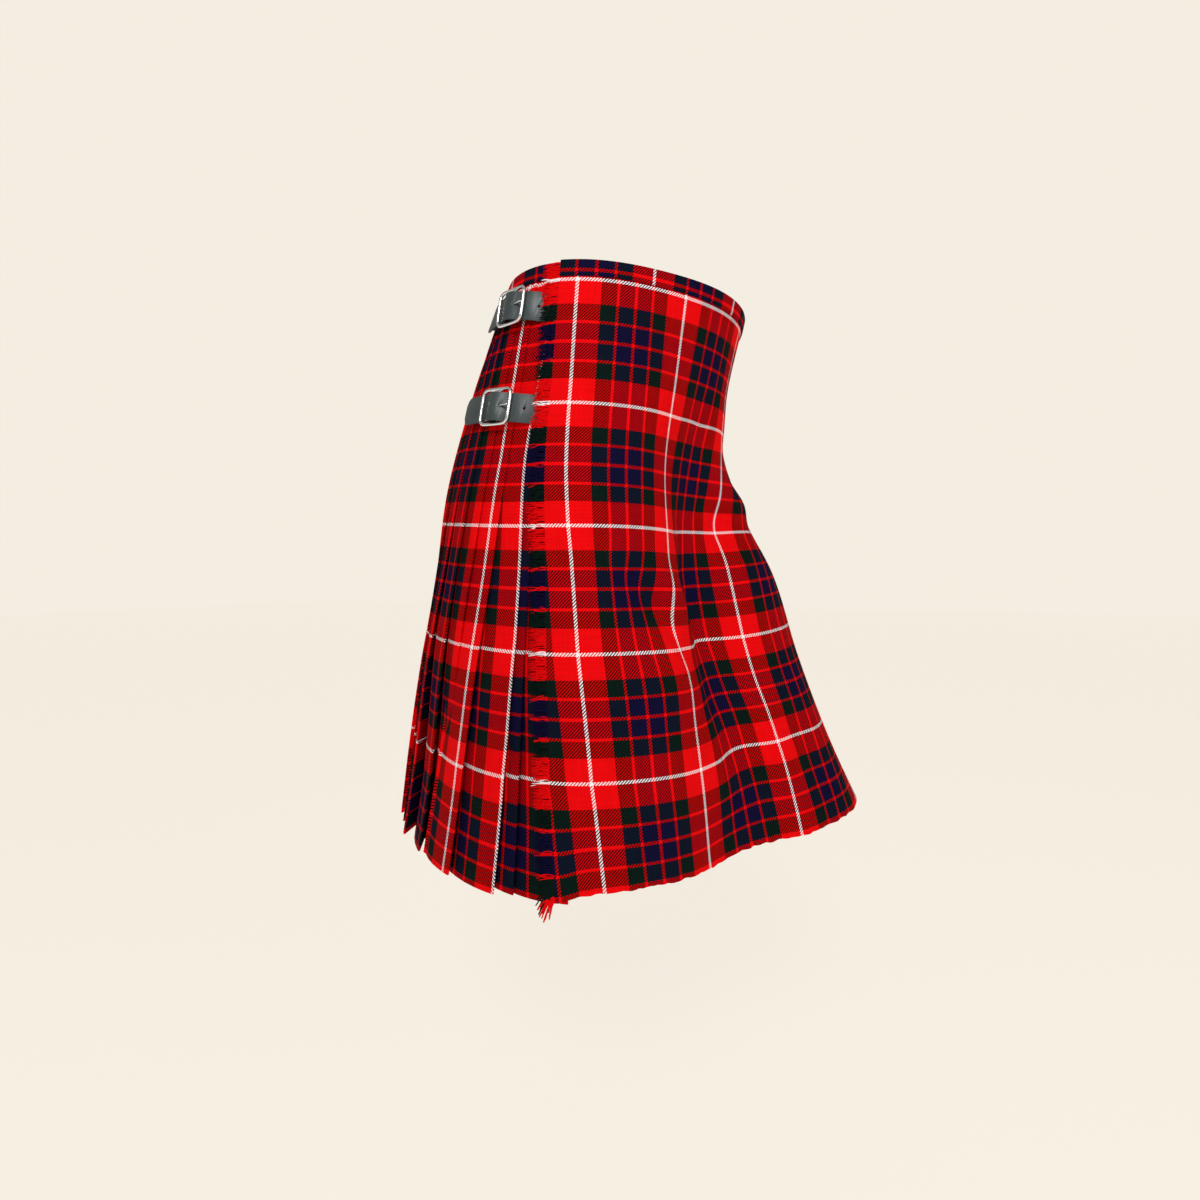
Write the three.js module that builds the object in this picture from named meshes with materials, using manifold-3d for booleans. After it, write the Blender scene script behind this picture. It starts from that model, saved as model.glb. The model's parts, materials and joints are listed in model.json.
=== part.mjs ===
// A worn tartan kilt: two flat aprons crossing in front, a knife-pleated back, a narrow waistband
// and three leather straps with centre-bar buckles. Millimetres, +Z up, the wearer faces -Y and
// the wearer's right is -X. The origin is at the middle of the top of the waist.
//
// The cloth is placed by three numbers: across (along a level ring of the body of the kilt, from
// the first white line of the over-apron, positive towards the wearer's left), down (the length
// of cloth below the top edge) and out (how far outside the smooth form the point lies).

import * as THREE from 'three';
import { mergeVertices } from 'three/addons/utils/BufferGeometryUtils.js';
import Module from 'manifold-3d';

const wasm = await Module();
wasm.setup();

// ---- driving dimensions ----

const KILT_LENGTH = 600;
const SETT = 120;
const CLOTH = 1.2;
const GAP = 0.4;
const BAND_HEIGHT = 15.5;
const BAND_CLOTH = 1.0;
const APRON_SETTS = 3;
const UNDER_OUT = -4.8;
const PLEAT_OUT = -4.8;
const PLEAT_WALL = 1.8;
const PLEAT_COUNT = 30;
const FRINGE_REACH = 17;
const FRINGE_CLOTH = 0.8;
const STRAP_WIDTH = 28.6;
const LEATHER = 2;
const CHAPE_LEATHER = 1.6;
const CHAPE_WIDTH = 24;
const CHAPE_LENGTH = 44;
const FRAME = { length: 39, height: 39.2, wire: 3.8, corner: 6, arch: 1.5, bar: 3.2 };
const HOLE = { radius: 1.4, back: -31 };
const PRONG_WIRE = 2.2;

// the smooth form, one row for each level ring, evenly spaced from the top edge downwards
const RING_SPACING = 100;
const FORM = [
  { halfWidth: 156, front: 125, back: 116, shift: 0, lean: 0.134, thigh: 0, hollow: 0, corner: 5 },
  { halfWidth: 163, front: 126, back: 155, shift: 3, lean: 0.128, thigh: -18, hollow: -13, corner: 11 },
  { halfWidth: 177, front: 129, back: 188, shift: 2, lean: 0.128, thigh: -15, hollow: -35, corner: 11 },
  { halfWidth: 192, front: 145, back: 216, shift: -10, lean: 0.133, thigh: 8, hollow: -57, corner: 10 },
  { halfWidth: 199, front: 161, back: 245, shift: -15, lean: 0.139, thigh: 18, hollow: -54, corner: 8 },
  { halfWidth: 197, front: 180, back: 268, shift: -13, lean: 0.151, thigh: 38, hollow: -38, corner: 3 },
  { halfWidth: 204, front: 198, back: 279, shift: -8, lean: 0.171, thigh: 70, hollow: -37, corner: 0 },
];
const THIGH = { angle: 26, spread: 26 };
const HOLLOW = { angle: -18, spread: 17 };
const CORNER = { angle: -133, spread: 22 };
const LEAN_EASE = { angle: 135, share: 0.4 };

// where the first white line and the over-apron's edges lie, by the length of cloth above
const LINES = [
  { down: 0, firstLine: -87, taper: 17 },
  { down: 130, firstLine: -87.5, taper: 18.5 },
  { down: 260, firstLine: -88, taper: 22 },
  { down: 380, firstLine: -86.5, taper: 30 },
  { down: 500, firstLine: -83, taper: 39 },
  { down: 600, firstLine: -78, taper: 47 },
];

// fold edges of the first pleats, as distances behind the over-apron's edge, and the step
// between each pleat and the one it lies on
const PLEATS = [
  { down: 0, first: -9, second: -3, third: 3, fourth: 26, step: 1.2 },
  { down: 190, first: 2, second: 11, third: 22, fourth: 42, step: 1.6 },
  { down: 370, first: 8, second: 24, third: 34, fourth: 76, step: 6 },
  { down: 460, first: 12, second: 33, third: 46, fourth: 95, step: 8.5 },
  { down: 600, first: 16, second: 46, third: 66, fourth: 124, step: 11 },
];
const PLEAT_START = -12;

// soft folds of the aprons: from one end to the other, half width and height
const FOLDS = [
  { across: 262, down: 205, toAcross: 330, toDown: 232, width: 16, height: 10 },
  { across: 205, down: 232, toAcross: 268, toDown: 275, width: 19, height: -14 },
  { across: 30, down: 285, toAcross: 128, toDown: 382, width: 13, height: -5 },
  { across: 62, down: 276, toAcross: 156, toDown: 366, width: 14, height: 5 },
  { across: 172, down: 300, toAcross: 206, toDown: 420, width: 13, height: -5 },
  { across: 150, down: 420, toAcross: 162, toDown: 600, width: 17, height: 5 },
  { across: 196, down: 440, toAcross: 212, toDown: 600, width: 16, height: -6 },
  { across: 258, down: 430, toAcross: 286, toDown: 600, width: 20, height: -7 },
];

// straps: where the buckle's centre bar lies behind the apron's edge, and how far down
const STRAPS = [
  { name: 'waist', side: 'right', bar: 51, down: 38, fall: 6 },
  { name: 'hip', side: 'right', bar: 57, down: 140, fall: 5 },
  { name: 'left', side: 'left', bar: 66, down: 38, fall: 0 },
];

// ---- looks ----

const cloth = (color) => new THREE.MeshStandardMaterial({ color, roughness: 0.9, metalness: 0 });
const leather = () => new THREE.MeshStandardMaterial({ color: 0x1c2224, roughness: 0.45, metalness: 0 });
const chrome = () => new THREE.MeshStandardMaterial({ color: 0xc9c9cc, roughness: 0.2, metalness: 1 });
const RED = 0xc8141a;
const DARK_RED = 0x8e1016;

// ---- the form ----

const radians = THREE.MathUtils.degToRad;

// smooth value of one column of evenly spaced rows
function along(rows, column, place) {
  const last = rows.length - 1;
  const index = Math.min(Math.max(Math.floor(place), 0), last - 1);
  const t = place - index;
  const at = (k) => {
    if (k < 0) return 2 * rows[0][column] - rows[1][column];
    if (k > last) return 2 * rows[last][column] - rows[last - 1][column];
    return rows[k][column];
  };
  const [a, b, c, d] = [at(index - 1), at(index), at(index + 1), at(index + 2)];
  return 0.5 * (2 * b + (c - a) * t + (2 * a - 5 * b + 4 * c - d) * t * t
    + (3 * b - a - 3 * c + d) * t * t * t);
}

// straight-line value of one column of rows placed by their own "down"
function byDown(rows, column, down) {
  let k = 0;
  while (k < rows.length - 2 && down > rows[k + 1].down) k += 1;
  const t = (down - rows[k].down) / (rows[k + 1].down - rows[k].down);
  return rows[k][column] + (rows[k + 1][column] - rows[k][column]) * t;
}

function bulge(angle, { angle: centre, spread }) {
  const turn = Math.atan2(Math.sin(angle - radians(centre)), Math.cos(angle - radians(centre)));
  return Math.exp(-0.5 * (turn / radians(spread)) ** 2);
}

// the point of the form at an angle from the front and a depth below the waist
function formPoint(angle, depth) {
  const place = depth / RING_SPACING;
  const value = (column) => along(FORM, column, place);
  const sine = Math.sin(angle);
  const cosine = Math.cos(angle);
  const ease = 1 - LEAN_EASE.share * (1 + Math.cos(angle - radians(LEAN_EASE.angle)));
  const skew = 1 + value('lean') * ease * Math.sin(2 * angle);
  const swell = value('thigh') * bulge(angle, THIGH) + value('hollow') * bulge(angle, HOLLOW)
    + value('corner') * bulge(angle, CORNER);
  const reach = cosine > 0 ? value('front') : value('back');
  return new THREE.Vector3(
    value('halfWidth') * sine * skew + swell * sine,
    value('shift') - reach * cosine * skew - swell * cosine,
    -depth,
  );
}

// depth below the waist that a length of cloth reaches at one angle
const STEP_DOWN = 10;
function depthOf(angle, down) {
  let depth = 0;
  let covered = 0;
  let point = formPoint(angle, 0);
  for (;;) {
    const next = formPoint(angle, depth + STEP_DOWN);
    const length = next.distanceTo(point);
    if (covered + length >= down) return depth + STEP_DOWN * (down - covered) / length;
    covered += length;
    depth += STEP_DOWN;
    point = next;
  }
}

// a level ring of the cloth: angles, points and the arc length up to each
const RING_POINTS = 180;
const rings = new Map();
function ringAt(down) {
  const key = down.toFixed(3);
  if (rings.has(key)) return rings.get(key);
  const points = [];
  for (let k = 0; k <= RING_POINTS; k += 1) {
    const angle = -Math.PI + (2 * Math.PI * k) / RING_POINTS;
    points.push(formPoint(angle, depthOf(angle, down)));
  }
  const arcs = [0];
  for (let k = 1; k <= RING_POINTS; k += 1) arcs.push(arcs[k - 1] + points[k].distanceTo(points[k - 1]));
  const start = (byDown(LINES, 'firstLine', down) + 180) / 360 * RING_POINTS;
  const base = Math.floor(start);
  const zero = arcs[base] + (arcs[base + 1] - arcs[base]) * (start - base);
  const ring = { points, arcs, zero, girth: arcs[RING_POINTS] };
  rings.set(key, ring);
  return ring;
}

function ringPoint(ring, across) {
  const arc = ((ring.zero + across) % ring.girth + ring.girth) % ring.girth;
  let low = 0;
  let high = RING_POINTS;
  while (high - low > 1) {
    const middle = (low + high) >> 1;
    if (ring.arcs[middle] <= arc) low = middle;
    else high = middle;
  }
  const t = (arc - ring.arcs[low]) / (ring.arcs[low + 1] - ring.arcs[low]);
  return ring.points[low].clone().lerp(ring.points[low + 1], t);
}

// a point of the kilt, moved out of the form along the level normal
const NORMAL_REACH = 6;
function place(across, down, out) {
  const ring = ringAt(down);
  const before = ringPoint(ring, across - NORMAL_REACH);
  const after = ringPoint(ring, across + NORMAL_REACH);
  const normal = new THREE.Vector3(after.y - before.y, before.x - after.x, 0).normalize();
  return ringPoint(ring, across).addScaledVector(normal, out);
}

function foldLift(across, down) {
  let lift = 0;
  for (const fold of FOLDS) {
    const runAcross = fold.toAcross - fold.across;
    const runDown = fold.toDown - fold.down;
    const length = Math.hypot(runAcross, runDown);
    const t = ((across - fold.across) * runAcross + (down - fold.down) * runDown) / length ** 2;
    const away = ((across - fold.across) * runDown - (down - fold.down) * runAcross) / length;
    const body = Math.sin(Math.PI * Math.min(Math.max(t, 0.15), 0.85));
    const fade = Math.exp(-Math.max(-t, t - 1, 0) * 6) * body;
    lift += fold.height * fade * Math.exp(-0.5 * (away / fold.width) ** 2);
  }
  return lift;
}

// ---- where the pieces begin and end ----

const rightEdge = (down) => -byDown(LINES, 'taper', down);
const leftEdge = (down) => APRON_SETTS * SETT + byDown(LINES, 'taper', down);
const pleatedLength = (down) => ringAt(down).girth - leftEdge(down) + rightEdge(down) - 2 * GAP;

// distances of the fold edges behind the over-apron's edge
function foldEdges(down) {
  const named = ['first', 'second', 'third', 'fourth'].map((name) => byDown(PLEATS, name, down));
  const edges = [PLEAT_START, ...named];
  const last = pleatedLength(down);
  const rest = PLEAT_COUNT - named.length;
  for (let k = 1; k <= rest; k += 1) {
    const even = named[3] + (last - named[3]) * (k / rest);
    const sway = k < rest ? 4 * Math.sin(2.3 * k) * (down / KILT_LENGTH) ** 2 : 0;
    edges.push(even + sway);
  }
  return edges;
}

// the pleats sink under the over-apron's free edge and come up to its face at the other seam
function pleatOut(behind, down) {
  const rise = THREE.MathUtils.smoothstep(behind, 125, 185);
  const end = THREE.MathUtils.smoothstep(behind, pleatedLength(down) - 190, pleatedLength(down) - 130);
  return PLEAT_OUT + 2.6 * rise + 2 * end;
}

// ---- solids ----

// a closed wall over a grid: outer and inner give the two faces at (column, row)
function wall(columns, rows, outer, inner) {
  const positions = [];
  const index = [];
  for (const face of [outer, inner]) {
    for (let c = 0; c <= columns; c += 1) {
      for (let r = 0; r <= rows; r += 1) positions.push(...face(c, r).toArray());
    }
  }
  const half = (columns + 1) * (rows + 1);
  const at = (side, c, r) => side * half + c * (rows + 1) + r;
  const quad = (a, b, c, d) => index.push(a, b, c, a, c, d);
  for (let c = 0; c < columns; c += 1) {
    for (let r = 0; r < rows; r += 1) {
      quad(at(0, c, r), at(0, c, r + 1), at(0, c + 1, r + 1), at(0, c + 1, r));
      quad(at(1, c, r), at(1, c + 1, r), at(1, c + 1, r + 1), at(1, c, r + 1));
    }
    quad(at(0, c, 0), at(0, c + 1, 0), at(1, c + 1, 0), at(1, c, 0));
    quad(at(0, c, rows), at(1, c, rows), at(1, c + 1, rows), at(0, c + 1, rows));
  }
  for (let r = 0; r < rows; r += 1) {
    quad(at(0, 0, r), at(1, 0, r), at(1, 0, r + 1), at(0, 0, r + 1));
    quad(at(0, columns, r), at(0, columns, r + 1), at(1, columns, r + 1), at(1, columns, r));
  }
  const geometry = new THREE.BufferGeometry();
  geometry.setAttribute('position', new THREE.Float32BufferAttribute(positions, 3));
  geometry.setIndex(index);
  return geometry;
}

function solid(geometry) {
  const bare = geometry.clone();
  bare.deleteAttribute('normal');
  bare.deleteAttribute('uv');
  const merged = mergeVertices(bare, 1e-4);
  const mesh = new wasm.Mesh({
    numProp: 3,
    vertProperties: new Float32Array(merged.attributes.position.array),
    triVerts: new Uint32Array(merged.index.array),
  });
  return new wasm.Manifold(mesh);
}

function geometryOf(manifold) {
  const mesh = manifold.getMesh();
  const geometry = new THREE.BufferGeometry();
  geometry.setAttribute('position', new THREE.BufferAttribute(new Float32Array(mesh.vertProperties), 3));
  geometry.setIndex(new THREE.BufferAttribute(new Uint32Array(mesh.triVerts), 1));
  return geometry;
}

const kilt = new THREE.Group();

function add(name, geometry, material) {
  const mesh = new THREE.Mesh(geometry, material);
  mesh.name = name;
  kilt.add(mesh);
}

// ---- aprons ----

function apron({ columns, rows, from, to, out, thickness }) {
  const spot = (c, r) => {
    const down = (KILT_LENGTH * r) / rows;
    return [from(down) + (to(down) - from(down)) * (c / columns), down];
  };
  const face = (level) => (c, r) => {
    const [across, down] = spot(c, r);
    return place(across, down, level + foldLift(across, down));
  };
  return wall(columns, rows, face(out), face(out - thickness));
}

add('over_apron', apron({
  columns: 30, rows: 24, from: rightEdge, to: leftEdge, out: 0, thickness: CLOTH,
}), cloth(RED));

const UNDER_FREE_EDGE = 45;
const underRight = (down) => rightEdge(down) - PLEAT_START + GAP;
const underLeft = (down) => leftEdge(down) - UNDER_FREE_EDGE;
add('under_apron', apron({
  columns: 28, rows: 24, from: underRight, to: underLeft, out: UNDER_OUT, thickness: CLOTH,
}), cloth(DARK_RED));

// ---- pleated back ----

const PLEAT_ROWS = [0, 20, 60, 100, 145, 190, 240, 290, 340, 390, 440, 490, 545, 600];

// the outer outline of the pleats at one level: fold edge, then the foot of its face, in turn
function pleatOutline(down) {
  const edges = foldEdges(down);
  const step = byDown(PLEATS, 'step', down);
  const outline = [];
  for (let k = 0; k < edges.length - 1; k += 1) {
    outline.push({ behind: edges[k], out: pleatOut(edges[k], down) });
    outline.push({ behind: edges[k + 1], out: pleatOut(edges[k + 1], down) - step });
  }
  return outline;
}

function pleatWall() {
  const outlines = PLEAT_ROWS.map(pleatOutline);
  const columns = outlines[0].length - 1;
  const face = (shift) => (c, r) => {
    const down = PLEAT_ROWS[r];
    const { behind, out } = outlines[r][columns - c];
    const back = c === 0 ? behind : behind + shift;
    return place(rightEdge(down) - back, down, out - shift);
  };
  return wall(columns, PLEAT_ROWS.length - 1, face(0), face(PLEAT_WALL));
}

// the slit near the left seam that the under-apron's strap comes out through
const SLIT = { behind: 16, down: 38, length: 16, height: STRAP_WIDTH + 3 };
function slitCutter() {
  const across = (t, down) => leftEdge(down) + SLIT.behind + SLIT.length * (t - 0.5);
  const face = (out) => (c, r) => {
    const down = SLIT.down + SLIT.height * (r - 0.5);
    return place(across(c / 2, down), down, out);
  };
  return wall(2, 1, face(8), face(-12));
}

add('pleats', geometryOf(solid(pleatWall()).subtract(solid(slitCutter()))), cloth(RED));

// ---- waistband, folded over the top edge of each stretch ----

function band({ columns, from, to, outOf, thick }) {
  const profile = (outer) => {
    const grow = outer ? BAND_CLOTH : 0;
    const clear = GAP + grow;
    return [
      { down: BAND_HEIGHT, out: clear },
      { down: -clear, out: clear },
      { down: -clear, out: -thick - clear },
      { down: BAND_HEIGHT - 4, out: -thick - clear },
    ];
  };
  const face = (outer) => (c, r) => {
    const across = from + (to - from) * (c / columns);
    const { down, out } = profile(outer)[3 - r];
    const point = place(across, Math.max(down, 0), outOf(across) + out);
    point.z -= Math.min(down, 0);
    return point;
  };
  return wall(columns, 3, face(false), face(true));
}

function turnedBand(options) {
  const geometry = band(options);
  const index = geometry.index.array;
  for (let k = 0; k < index.length; k += 3) {
    [index[k + 1], index[k + 2]] = [index[k + 2], index[k + 1]];
  }
  return geometry;
}

const pleatFront = rightEdge(0) - PLEAT_START;
const pleatEnd = rightEdge(0) - pleatedLength(0);
add('band_over', turnedBand({
  columns: 30, from: rightEdge(0), to: leftEdge(0), outOf: () => 0, thick: CLOTH,
}), cloth(DARK_RED));
add('band_under', turnedBand({
  columns: 24, from: underRight(0), to: underLeft(0), outOf: () => UNDER_OUT, thick: CLOTH + GAP / 2,
}), cloth(DARK_RED));
add('band_pleats', turnedBand({
  columns: 40,
  from: pleatEnd,
  to: pleatFront,
  outOf: (across) => pleatOut(rightEdge(0) - across, 0) + GAP / 2,
  thick: PLEAT_WALL + PLEATS[0].step + 3 * GAP,
}), cloth(DARK_RED));

// ---- fringe along the over-apron's free edge ----

function fringe() {
  const rows = 24;
  const face = (out) => (c, r) => {
    const down = 1 + (KILT_LENGTH - 1) * (r / rows);
    const across = rightEdge(down) - GAP - FRINGE_REACH * (1 - c / 2);
    return place(across, down, out);
  };
  return wall(2, rows, face(-0.2), face(-0.2 - FRINGE_CLOTH));
}
add('fringe', fringe(), cloth(RED));

// ---- straps and buckles ----

const BAR_LIFT = 7.2;
const SIDE_BAR = FRAME.length / 2 - FRAME.wire / 2;

// turns a buckle's own distances into places on the kilt: "back" runs away from the apron
function buckleSeat(strap) {
  const right = strap.side === 'right';
  const sign = right ? -1 : 1;
  const edge = (down) => (right ? rightEdge(down) : leftEdge(down));
  const across = (back) => edge(strap.down) + sign * (strap.bar + back);
  const behind = (back) => (right ? strap.bar + back : pleatedLength(strap.down) - strap.bar - back);
  const base = pleatOut(behind(0), strap.down);
  const lean = (back) => strap.down + strap.fall * Math.min(Math.max(-back / strap.bar, 0), 1.2);
  // "back" and "down" are kept square to each other where the cloth's own lines lean
  const ahead = place(across(6), strap.down, 0);
  const level = ahead.sub(place(across(-6), strap.down, 0)).normalize();
  const fall = place(across(0), strap.down + 6, 0).sub(place(across(0), strap.down - 6, 0));
  const shear = fall.dot(level) / 12;
  const put = (back, down, out) => place(across(back - shear * (down - strap.down)), down, out);
  const bar = base + BAR_LIFT;
  const ends = [-SIDE_BAR, SIDE_BAR].map((back) => put(back, strap.down, bar));
  const chord = ends[0].clone().add(ends[1]).multiplyScalar(0.5);
  const sag = chord.distanceTo(put(0, strap.down, bar));
  return { sign, base, lean, put, bar, sag };
}

// flips a wall whose columns run the other way round the kilt
function facing(sign, geometry) {
  if (sign > 0) return geometry;
  const index = geometry.index.array;
  for (let k = 0; k < index.length; k += 3) {
    [index[k + 1], index[k + 2]] = [index[k + 2], index[k + 1]];
  }
  return geometry;
}

// the inner face of the leather: under the side bars and over the centre bar
function strapPath(strap, seat) {
  const low = seat.bar + FRAME.arch + seat.sag - FRAME.wire / 2 - 2.8 * GAP - LEATHER;
  const high = seat.bar + FRAME.bar / 2 + CHAPE_LEATHER + 2 * GAP + 0.3;
  const rest = seat.base + 2 * CHAPE_LEATHER + 5 * GAP;
  const buckled = [
    { back: -SIDE_BAR - 3, out: low },
    { back: -SIDE_BAR, out: low },
    { back: -SIDE_BAR + 5, out: low + (high - low) * 0.1 },
    { back: -3, out: high },
    { back: 3, out: high },
    { back: SIDE_BAR - 5, out: low + (high - low) * 0.1 },
    { back: SIDE_BAR, out: low },
    { back: SIDE_BAR + 4, out: low },
    { back: SIDE_BAR + 14, out: rest },
    { back: 46, out: rest },
    { back: 51, out: rest },
    { back: 54, out: rest },
  ];
  if (strap.side === 'right') {
    return [
      { back: -strap.bar - 14, out: PLEAT_OUT + 0.3 },
      { back: -strap.bar, out: PLEAT_OUT + 0.3 },
      { back: -strap.bar + 18, out: PLEAT_OUT + 0.3 },
      ...buckled,
    ];
  }
  const inside = UNDER_OUT - 3;
  const slit = -strap.bar + SLIT.behind;
  return [
    { back: -strap.bar - UNDER_FREE_EDGE - 28, out: UNDER_OUT + GAP + 0.2 },
    { back: -strap.bar - UNDER_FREE_EDGE + 3, out: UNDER_OUT + GAP + 0.2 },
    { back: -strap.bar - 24, out: inside },
    { back: slit - 7, out: inside },
    { back: slit + 5, out: seat.base + 0.6 },
    { back: slit + 14, out: seat.base + 0.6 },
    ...buckled,
  ];
}

// a path with points added so that it follows the round of the kilt
function fine(path, spacing) {
  const points = [path[0]];
  for (let k = 1; k < path.length; k += 1) {
    const [a, b] = [path[k - 1], path[k]];
    const parts = Math.ceil((b.back - a.back) / spacing);
    for (let p = 1; p <= parts; p += 1) {
      const t = p / parts;
      points.push({ back: a.back + (b.back - a.back) * t, out: a.out + (b.out - a.out) * t });
    }
  }
  return points;
}

// share of the full width at the strap's rounded tip, from the end inwards
const TIP_SHARES = [0.45, 0.82, 1];

function strapSolid(strap, seat) {
  const path = fine(strapPath(strap, seat), 8);
  const last = path.length - 1;
  const face = (lift) => (c, r) => {
    const { back, out } = path[c];
    const width = STRAP_WIDTH * TIP_SHARES[Math.min(last - c, 2)];
    return seat.put(back, seat.lean(back) + width * (r / 2 - 0.5), out + lift);
  };
  return facing(seat.sign, wall(last, 2, face(LEATHER), face(0)));
}

// the folded leather tab that holds the centre bar, one strip bent round it
function chapeSolid(seat, down) {
  const low = seat.base + 2 * GAP + CHAPE_LEATHER / 2;
  const high = low + CHAPE_LEATHER + GAP;
  const turn = FRAME.bar / 2 + GAP + CHAPE_LEATHER / 2;
  const flat = [CHAPE_LENGTH, 36, 28, 19];
  const centreline = [...flat, 12].map((back) => ({ back, out: high }));
  for (let k = 0; k <= 8; k += 1) {
    const angle = radians(70 + (240 * k) / 8);
    centreline.push({ back: turn * Math.cos(angle), out: seat.bar + turn * Math.sin(angle) });
  }
  for (const back of [11, ...flat.toReversed()]) centreline.push({ back, out: low });
  const face = (side) => (c, r) => {
    const before = centreline[Math.max(c - 1, 0)];
    const after = centreline[Math.min(c + 1, centreline.length - 1)];
    const length = Math.hypot(after.back - before.back, after.out - before.out);
    const half = side * CHAPE_LEATHER / 2;
    const back = centreline[c].back + half * (after.out - before.out) / length;
    const out = centreline[c].out - half * (after.back - before.back) / length;
    return seat.put(back, down + CHAPE_WIDTH * (r - 0.5), out);
  };
  return facing(-seat.sign, wall(centreline.length - 1, 1, face(1), face(-1)));
}

// the rigid hardware is made flat and then stood on the kilt: x back, y up the kilt, z outwards
function seatMatrix(seat, down) {
  const origin = seat.put(0, down, seat.bar);
  const back = seat.put(6, down, seat.bar).sub(seat.put(-6, down, seat.bar)).normalize();
  const up = seat.put(0, down - 6, seat.bar).sub(seat.put(0, down + 6, seat.bar));
  up.addScaledVector(back, -up.dot(back)).normalize();
  const out = new THREE.Vector3().crossVectors(back, up);
  if (out.dot(new THREE.Vector3(origin.x, origin.y, 0)) < 0) {
    out.negate();
    up.negate();
  }
  return new THREE.Matrix4().makeBasis(back, up, out).setPosition(origin);
}

function roundedFrame() {
  const arcSteps = 4;
  const wireSides = 8;
  const path = [];
  const halfLength = SIDE_BAR - FRAME.corner;
  const halfHeight = FRAME.height / 2 - FRAME.wire / 2 - FRAME.corner;
  for (let corner = 0; corner < 4; corner += 1) {
    const cx = halfLength * (corner === 0 || corner === 3 ? 1 : -1);
    const cy = halfHeight * (corner < 2 ? 1 : -1);
    for (let k = 0; k <= arcSteps; k += 1) {
      const angle = radians(90 * corner + (90 * k) / arcSteps);
      path.push(new THREE.Vector2(cx + FRAME.corner * Math.cos(angle), cy + FRAME.corner * Math.sin(angle)));
    }
  }
  const positions = [];
  const index = [];
  const count = path.length;
  for (let k = 0; k < count; k += 1) {
    const heading = path[(k + 1) % count].clone().sub(path[(k + count - 1) % count]).normalize();
    for (let s = 0; s < wireSides; s += 1) {
      const angle = (2 * Math.PI * (s + 0.5)) / wireSides;
      const side = (FRAME.wire / 2) * Math.cos(angle);
      const rise = FRAME.arch * (path[k].x / SIDE_BAR) ** 2;
      positions.push(path[k].x + heading.y * side, path[k].y - heading.x * side);
      positions.push(rise + (FRAME.wire / 2) * Math.sin(angle));
    }
  }
  for (let k = 0; k < count; k += 1) {
    for (let s = 0; s < wireSides; s += 1) {
      const next = ((k + 1) % count) * wireSides;
      const turn = (s + 1) % wireSides;
      const [a, b] = [k * wireSides + s, k * wireSides + turn];
      index.push(a, next + s, next + turn, a, next + turn, b);
    }
  }
  const geometry = new THREE.BufferGeometry();
  geometry.setAttribute('position', new THREE.Float32BufferAttribute(positions, 3));
  geometry.setIndex(index);
  const bar = new THREE.CylinderGeometry(FRAME.bar / 2, FRAME.bar / 2, FRAME.height - FRAME.wire, 10);
  return solid(geometry).add(solid(bar));
}

// prong: a ring round the centre bar and a rod resting on the front side bar
function prongShape(grow) {
  const inner = FRAME.bar / 2 + GAP - grow;
  const outer = FRAME.bar / 2 + GAP + 1.5 + grow;
  const half = 1.3 + grow;
  const profile = [[inner, -half], [outer, -half], [outer, half], [inner, half], [inner, -half]];
  const ring = new THREE.LatheGeometry(profile.map(([x, y]) => new THREE.Vector2(x, y)), 12);
  const tip = { x: -SIDE_BAR - 1, z: FRAME.arch + FRAME.wire / 2 + PRONG_WIRE / 2 + 0.4 };
  const start = { x: -1.8, z: 2.2 };
  const length = Math.hypot(tip.x - start.x, tip.z - start.z);
  const rod = new THREE.CylinderGeometry(PRONG_WIRE / 2 + grow, PRONG_WIRE / 2 + grow, length, 8);
  rod.rotateZ(Math.PI / 2);
  rod.rotateY(Math.atan2(tip.z - start.z, -(tip.x - start.x)));
  rod.translate((tip.x + start.x) / 2, 0, (tip.z + start.z) / 2);
  return solid(ring).add(solid(rod));
}

// the punched hole between the buckle and the over-apron's edge
function punch(seat) {
  const pin = new THREE.CylinderGeometry(HOLE.radius, HOLE.radius, 5 * LEATHER, 12);
  const down = seat.lean(HOLE.back);
  const foot = seat.put(HOLE.back, down, seat.base + LEATHER);
  const out = seat.put(HOLE.back, down, seat.base + 4 * LEATHER).sub(foot).normalize();
  pin.applyQuaternion(new THREE.Quaternion().setFromUnitVectors(new THREE.Vector3(0, 1, 0), out));
  pin.translate(foot.x, foot.y, foot.z);
  return solid(pin);
}

function placedSolid(shape, matrix) {
  const geometry = geometryOf(shape);
  geometry.applyMatrix4(matrix);
  return geometry;
}

for (const strap of STRAPS) {
  const seat = buckleSeat(strap);
  const matrix = seatMatrix(seat, strap.down);
  const hole = solid(placedSolid(prongShape(GAP), matrix));
  const leatherStrip = solid(strapSolid(strap, seat)).subtract(hole).subtract(punch(seat));
  add(`${strap.name}_strap`, geometryOf(leatherStrip), leather());
  add(`${strap.name}_chape`, geometryOf(solid(chapeSolid(seat, strap.down)).subtract(hole)), leather());
  add(`${strap.name}_buckle`, placedSolid(roundedFrame(), matrix), chrome());
  add(`${strap.name}_prong`, placedSolid(prongShape(0), matrix), chrome());
}

export default kilt;
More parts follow.
